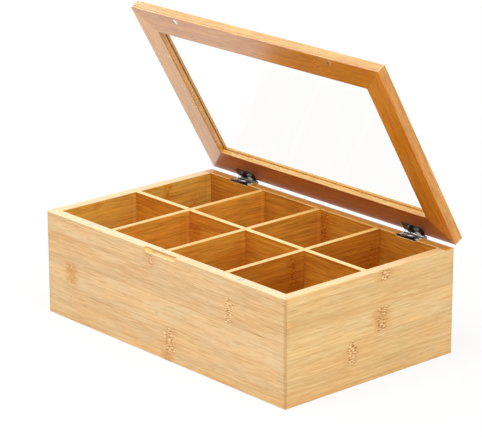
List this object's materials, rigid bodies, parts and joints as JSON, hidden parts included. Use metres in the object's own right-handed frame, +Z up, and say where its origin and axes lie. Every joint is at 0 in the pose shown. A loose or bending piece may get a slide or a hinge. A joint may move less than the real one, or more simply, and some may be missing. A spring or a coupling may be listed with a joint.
{
  "type": "tea bag organizer box",
  "caption": "Rectangular bamboo box divided into open-topped compartments for tea bags, with a hinged lid that frames a clear window and small magnets as its catch.",
  "frame": {"origin": "middle of the underside of the box body, on the surface it stands on", "axes": "+X right along the front, +Y towards the hinged back, +Z up; the lid rests 60 degrees open"},
  "size_m": [0.32, 0.2081, 0.2746],
  "materials": {
    "bamboo_walls": "satin clear lacquer",
    "bamboo_dividers": "satin clear lacquer",
    "bamboo_lid": "satin clear lacquer",
    "clear_pane": "polished clear",
    "hinges": "polished dark nickel plate",
    "screws": "polished dark nickel plate",
    "magnets": "nickel plate"
  },
  "bodies": {
    "box": {"front_wall": "bamboo_walls", "rear_wall": "bamboo_walls", "left_wall": "bamboo_walls", "right_wall": "bamboo_walls", "bottom_panel": "bamboo_dividers", "long_divider": "bamboo_dividers", "left_cross_divider": "bamboo_dividers", "middle_cross_divider": "bamboo_dividers", "right_cross_divider": "bamboo_dividers", "left_rim_magnet": "magnets", "right_rim_magnet": "magnets", "left_hinge_body_leaf": "hinges", "left_hinge_pin": "hinges", "left_hinge_body_screws": "screws", "right_hinge_body_leaf": "hinges", "right_hinge_pin": "hinges", "right_hinge_body_screws": "screws"},
    "lid": {"lid_front_rail": "bamboo_lid", "lid_rear_rail": "bamboo_lid", "lid_left_rail": "bamboo_lid", "lid_right_rail": "bamboo_lid", "lid_window": "clear_pane", "left_lid_magnet": "magnets", "right_lid_magnet": "magnets", "left_hinge_lid_leaf": "hinges", "left_hinge_lid_screws": "screws", "right_hinge_lid_leaf": "hinges", "right_hinge_lid_screws": "screws"}
  },
  "joints": [
    {"name": "lid_hinge", "type": "hinge", "parent": "box", "child": "lid", "pos_m": [0, 0.10125, 0.09615], "axis": [-1, 0, 0], "range_deg": [-60, 120]}
  ]
}
